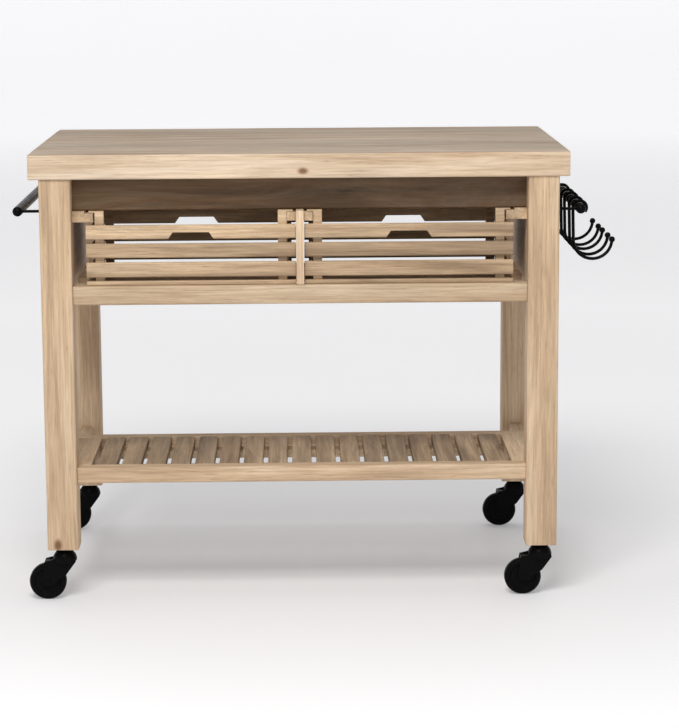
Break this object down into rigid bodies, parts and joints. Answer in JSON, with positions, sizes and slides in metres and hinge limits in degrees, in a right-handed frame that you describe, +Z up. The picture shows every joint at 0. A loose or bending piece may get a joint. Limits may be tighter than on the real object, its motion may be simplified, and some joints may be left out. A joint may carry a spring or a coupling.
{
  "type": "bar cart",
  "caption": "Wooden bar cart on casters with a plank top, two slide-out slatted crates, a slatted lower shelf, a towel bar and a bar with S-hooks.",
  "frame": {"origin": "centre of the bounding box on the floor", "axes": "+X to the right along the length, +Y to the back, +Z up"},
  "size_m": [1.208, 0.61, 0.91],
  "materials": {
    "light_wood": "matt natural",
    "top_wood": "matt weathered",
    "slat_wood": "matt weathered",
    "crate_wood": "matt weathered",
    "black_metal": "satin black",
    "black_rubber": "satin black"
  },
  "bodies": {
    "frame": {"top_core": "top_wood", "top_band_front": "light_wood", "top_band_back": "light_wood", "leg_front_left": "light_wood", "leg_front_right": "light_wood", "leg_back_left": "light_wood", "leg_back_right": "light_wood", "apron_front": "light_wood", "apron_back": "light_wood", "mid_rail_front": "light_wood", "mid_rail_back": "light_wood", "low_rail_front": "light_wood", "low_rail_back": "light_wood", "apron_left": "light_wood", "mid_rail_left": "light_wood", "stretcher_left": "light_wood", "shelf_end_left": "light_wood", "runner_outer_left": "crate_wood", "runner_centre_left": "crate_wood", "apron_right": "light_wood", "mid_rail_right": "light_wood", "stretcher_right": "light_wood", "shelf_end_right": "light_wood", "runner_outer_right": "crate_wood", "runner_centre_right": "crate_wood", "shelf_slats": "slat_wood", "divider": "light_wood", "towel_bar": "black_metal", "hook_bar": "black_metal", "caster_plate_front_left": "black_metal", "caster_plate_front_right": "black_metal", "caster_plate_back_left": "black_metal", "caster_plate_back_right": "black_metal"},
    "crate_left": {"crate_left_front": "crate_wood", "crate_left_back": "crate_wood", "crate_left_side_a": "crate_wood", "crate_left_side_b": "crate_wood", "crate_left_floor": "crate_wood"},
    "crate_right": {"crate_right_front": "crate_wood", "crate_right_back": "crate_wood", "crate_right_side_a": "crate_wood", "crate_right_side_b": "crate_wood", "crate_right_floor": "crate_wood"},
    "swivel_front_left": {"caster_fork_front_left": "black_metal", "caster_axle_front_left": "black_metal"},
    "roller_front_left": {"caster_wheel_front_left": "black_rubber"},
    "swivel_front_right": {"caster_fork_front_right": "black_metal", "caster_axle_front_right": "black_metal"},
    "roller_front_right": {"caster_wheel_front_right": "black_rubber"},
    "swivel_back_left": {"caster_fork_back_left": "black_metal", "caster_axle_back_left": "black_metal"},
    "roller_back_left": {"caster_wheel_back_left": "black_rubber"},
    "swivel_back_right": {"caster_fork_back_right": "black_metal", "caster_axle_back_right": "black_metal"},
    "roller_back_right": {"caster_wheel_back_right": "black_rubber"},
    "hanger_1": {"hook_1": "black_metal"},
    "hanger_2": {"hook_2": "black_metal"},
    "hanger_3": {"hook_3": "black_metal"},
    "hanger_4": {"hook_4": "black_metal"},
    "hanger_5": {"hook_5": "black_metal"}
  },
  "joints": [
    {"name": "crate_slide_left", "type": "slide", "parent": "frame", "child": "crate_left", "axis": [0, -1, 0], "range_m": [0, 0.2]},
    {"name": "crate_slide_right", "type": "slide", "parent": "frame", "child": "crate_right", "axis": [0, -1, 0], "range_m": [0, 0.2]},
    {"name": "caster_swivel_front_left", "type": "hinge", "parent": "frame", "child": "swivel_front_left", "pos_m": [-0.5151, -0.271, 0.1], "axis": [0, 0, 1], "continuous": true},
    {"name": "wheel_roll_front_left", "type": "hinge", "parent": "swivel_front_left", "child": "roller_front_left", "pos_m": [-0.5501, -0.271, 0.0375], "axis": [0, 1, 0], "continuous": true},
    {"name": "caster_swivel_front_right", "type": "hinge", "parent": "frame", "child": "swivel_front_right", "pos_m": [0.4531, -0.271, 0.1], "axis": [0, 0, 1], "continuous": true},
    {"name": "wheel_roll_front_right", "type": "hinge", "parent": "swivel_front_right", "child": "roller_front_right", "pos_m": [0.4181, -0.271, 0.0375], "axis": [0, 1, 0], "continuous": true},
    {"name": "caster_swivel_back_left", "type": "hinge", "parent": "frame", "child": "swivel_back_left", "pos_m": [-0.5151, 0.271, 0.1], "axis": [0, 0, 1], "continuous": true},
    {"name": "wheel_roll_back_left", "type": "hinge", "parent": "swivel_back_left", "child": "roller_back_left", "pos_m": [-0.5501, 0.271, 0.0375], "axis": [0, 1, 0], "continuous": true},
    {"name": "caster_swivel_back_right", "type": "hinge", "parent": "frame", "child": "swivel_back_right", "pos_m": [0.4531, 0.271, 0.1], "axis": [0, 0, 1], "continuous": true},
    {"name": "wheel_roll_back_right", "type": "hinge", "parent": "swivel_back_right", "child": "roller_back_right", "pos_m": [0.4181, 0.271, 0.0375], "axis": [0, 1, 0], "continuous": true},
    {"name": "hook_swing_1", "type": "hinge", "parent": "frame", "child": "hanger_1", "pos_m": [0.532, -0.235, 0.79], "axis": [0, -1, 0], "range_deg": [-25, 70]},
    {"name": "hook_swing_2", "type": "hinge", "parent": "frame", "child": "hanger_2", "pos_m": [0.532, -0.171, 0.79], "axis": [0, -1, 0], "range_deg": [-25, 70]},
    {"name": "hook_swing_3", "type": "hinge", "parent": "frame", "child": "hanger_3", "pos_m": [0.532, -0.09, 0.79], "axis": [0, -1, 0], "range_deg": [-25, 70]},
    {"name": "hook_swing_4", "type": "hinge", "parent": "frame", "child": "hanger_4", "pos_m": [0.532, -0.027, 0.79], "axis": [0, -1, 0], "range_deg": [-25, 70]},
    {"name": "hook_swing_5", "type": "hinge", "parent": "frame", "child": "hanger_5", "pos_m": [0.532, 0.066, 0.79], "axis": [0, -1, 0], "range_deg": [-25, 70]}
  ]
}
